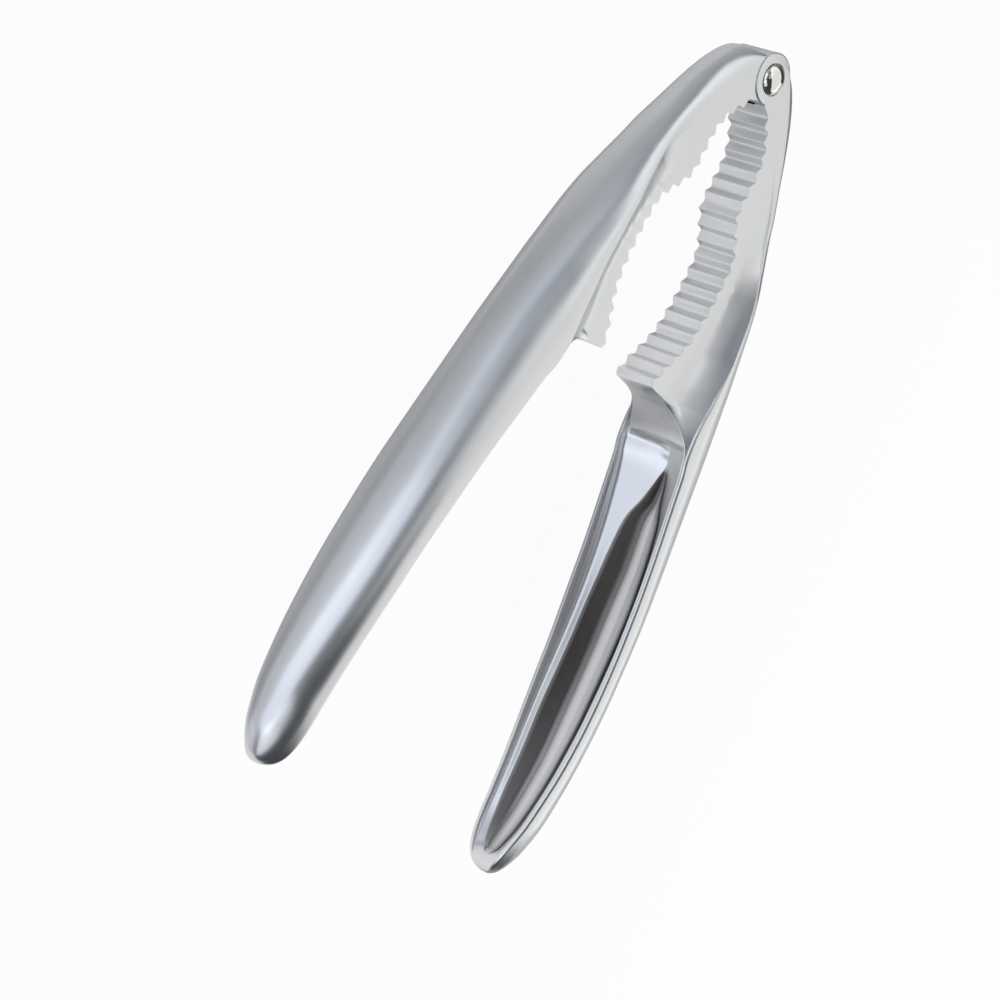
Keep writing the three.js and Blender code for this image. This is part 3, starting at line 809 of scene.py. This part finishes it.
# Studio: azimuths are degrees from +X towards +Y, elevations above the floor, as seen from the tool;
# half angles are a lamp's half sizes against its distance
studio = {
    "centre": (-0.02, 0.0, 0.0),
    "brightSide": (135, -5),   # azimuth and elevation that the surroundings are brightest at
    "fadeStart": -0.05,        # cosine of the angle from there at which they are darkest
    "fadeEnd": 0.8,            # and at which they are brightest
    "world": 0.38,
    "worldDark": 0.06,
    "worldTint": (0.84, 0.9, 1, 1),
    "lamps": [
        {"name": "leftSoftbox", "azimuth": 197, "elevation": 22, "distance": 0.85,
         "halfAngles": (0.64, 0.5), "level": 0.92, "tint": (0.86, 0.91, 1)},
        {"name": "frontSoftbox", "azimuth": 243, "elevation": 36, "distance": 1.0,
         "halfAngles": (0.35, 0.45), "level": 0.95, "tint": (0.9, 0.93, 1)},
        {"name": "lowSoftbox", "azimuth": 158, "elevation": 10, "distance": 1.0,
         "halfAngles": (0.36, 0.17), "level": 0.38, "tint": (0.86, 0.91, 1)},
        {"name": "rearSoftbox", "azimuth": 50, "elevation": 52, "distance": 1.2,
         "halfAngles": (1.6, 0.47), "level": 0.86, "tint": (1, 1, 0.975)},
        {"name": "topSoftbox", "azimuth": 115, "elevation": 76, "distance": 1.5,
         "halfAngles": (0.26, 0.2), "level": 0.42, "tint": (1, 1, 0.99)},
        {"name": "rightSoftbox", "azimuth": 0, "elevation": 15, "distance": 1.1,
         "halfAngles": (0.36, 0.24), "level": 0.65, "tint": (1, 1, 0.98)},
    ],
}
floor = {
    "size": 6,
    "drop": 0.0002,            # below the tool, so that the two don't touch
    "colour": (0.35, 0.35, 0.35, 1),
    "sheen": 0.5,              # share of the floor that mirrors the studio
    "sheenRoughness": 0.12,
    "seenWhite": 0.96,         # how much of the white background the camera sees
    "mirroredWhite": 0.27,     # how much of it metal sees round the tool
    "betweenLevers": 0.85,     # and between the levers, a painted pool of light on the floor that only metal mirrors
    "paintedPoolSpread": 0.27,        # half width of that place for each length away from the hinge
    "paintedPoolSoft": 0.006,         # half width of its soft edge
}


def direction(azimuth, elevation):
    azimuth = math.radians(azimuth)
    elevation = math.radians(elevation)
    return Vector((math.cos(elevation) * math.cos(azimuth), math.cos(elevation) * math.sin(azimuth),
                   math.sin(elevation)))


def makeLamp(lamp):
    toLamp = direction(lamp["azimuth"], lamp["elevation"])
    bpy.ops.object.light_add(type="AREA", location=Vector(studio["centre"]) + toLamp * lamp["distance"])
    light = bpy.context.object
    light.name = lamp["name"]
    light.data.shape = "RECTANGLE"
    light.data.size, light.data.size_y = (2 * lamp["distance"] * share for share in lamp["halfAngles"])
    light.data.energy = lamp["level"] * math.pi * light.data.size * light.data.size_y
    light.data.color = lamp["tint"]
    light.rotation_euler = toLamp.to_track_quat("Z", "Y").to_euler()


def makeWorld():
    world = bpy.data.worlds.new("studioWorld")
    bpy.context.scene.world = world
    world.use_nodes = True
    nodes, links = world.node_tree.nodes, world.node_tree.links
    background = nodes["Background"]
    background.inputs["Color"].default_value = studio["worldTint"]
    place = nodes.new("ShaderNodeTexCoord")
    towards = nodes.new("ShaderNodeVectorMath")
    towards.operation = "DOT_PRODUCT"
    towards.inputs[1].default_value = direction(*studio["brightSide"])
    fall = nodes.new("ShaderNodeMapRange")
    fall.interpolation_type = "SMOOTHSTEP"
    fall.inputs["From Min"].default_value = studio["fadeStart"]
    fall.inputs["From Max"].default_value = studio["fadeEnd"]
    fall.inputs["To Min"].default_value = studio["worldDark"]
    fall.inputs["To Max"].default_value = studio["world"]
    links.new(place.outputs["Generated"], towards.inputs[0])
    links.new(towards.outputs["Value"], fall.inputs["Value"])
    links.new(fall.outputs["Result"], background.inputs["Strength"])


# A math node whose inputs are other nodes' outputs or plain numbers
def mathNode(material, operation, *values):
    node = material.node_tree.nodes.new("ShaderNodeMath")
    node.operation = operation
    for socket, value in zip(node.inputs, values):
        if isinstance(value, bpy.types.NodeSocket):
            material.node_tree.links.new(value, socket)
        else:
            socket.default_value = value
    return node.outputs["Value"]


# The floor's own surface, matt with some sheen
def floorSurface(material):
    nodes, links = material.node_tree.nodes, material.node_tree.links
    matt = nodes.new("ShaderNodeBsdfDiffuse")
    matt.inputs["Color"].default_value = floor["colour"]
    gloss = nodes.new("ShaderNodeBsdfGlossy")
    gloss.inputs["Roughness"].default_value = floor["sheenRoughness"]
    surface = nodes.new("ShaderNodeMixShader")
    surface.inputs["Fac"].default_value = floor["sheen"]
    links.new(matt.outputs["BSDF"], surface.inputs[1])
    links.new(gloss.outputs["BSDF"], surface.inputs[2])
    return surface.outputs["Shader"]


# How much of the white background metal sees, with a painted pool of light on the floor between the levers
def whiteInMetal(material):
    nodes, links = material.node_tree.nodes, material.node_tree.links
    place = nodes.new("ShaderNodeTexCoord")
    parts = nodes.new("ShaderNodeSeparateXYZ")
    links.new(place.outputs["Object"], parts.inputs["Vector"])
    aside = mathNode(material, "ABSOLUTE", parts.outputs["X"])
    beyond = mathNode(material, "MULTIPLY_ADD", parts.outputs["Y"], floor["paintedPoolSpread"], aside)
    paintedPool = nodes.new("ShaderNodeMapRange")
    paintedPool.interpolation_type = "SMOOTHSTEP"
    paintedPool.inputs["From Min"].default_value = floor["paintedPoolSpread"] * hingePoint.y - floor["paintedPoolSoft"]
    paintedPool.inputs["From Max"].default_value = floor["paintedPoolSpread"] * hingePoint.y + floor["paintedPoolSoft"]
    paintedPool.inputs["To Min"].default_value = floor["betweenLevers"]
    paintedPool.inputs["To Max"].default_value = floor["mirroredWhite"]
    links.new(beyond, paintedPool.inputs["Value"])
    return paintedPool.outputs["Result"]


def makeFloor():
    bpy.ops.object.select_all(action="DESELECT")
    bpy.ops.mesh.primitive_plane_add(size=floor["size"], location=(0, 0, -floor["drop"]))
    plane = bpy.context.object
    plane.name = "studioFloor"
    bpy.ops.object.transform_apply(location=True, rotation=True, scale=True)
    material = bpy.data.materials.new("paleFloor")
    material.use_nodes = True
    nodes, links = material.node_tree.nodes, material.node_tree.links
    nodes.remove(nodes["Principled BSDF"])
    glow = nodes.new("ShaderNodeEmission")
    glow.inputs["Strength"].default_value = 1
    rays = nodes.new("ShaderNodeLightPath")
    metal = mathNode(material, "MAXIMUM", rays.outputs["Is Glossy Ray"], rays.outputs["Is Transmission Ray"])
    mirrored = mathNode(material, "MULTIPLY", metal, whiteInMetal(material))
    white = mathNode(material, "MULTIPLY_ADD", rays.outputs["Is Camera Ray"], floor["seenWhite"], mirrored)
    mix = nodes.new("ShaderNodeMixShader")
    links.new(white, mix.inputs["Fac"])
    links.new(floorSurface(material), mix.inputs[1])
    links.new(glow.outputs["Emission"], mix.inputs[2])
    links.new(mix.outputs["Shader"], nodes["Material Output"].inputs["Surface"])
    plane.data.materials.append(material)


for lamp in studio["lamps"]:
    makeLamp(lamp)
makeWorld()
makeFloor()
bpy.context.scene.view_settings.view_transform = "Standard"
print("studio lit")
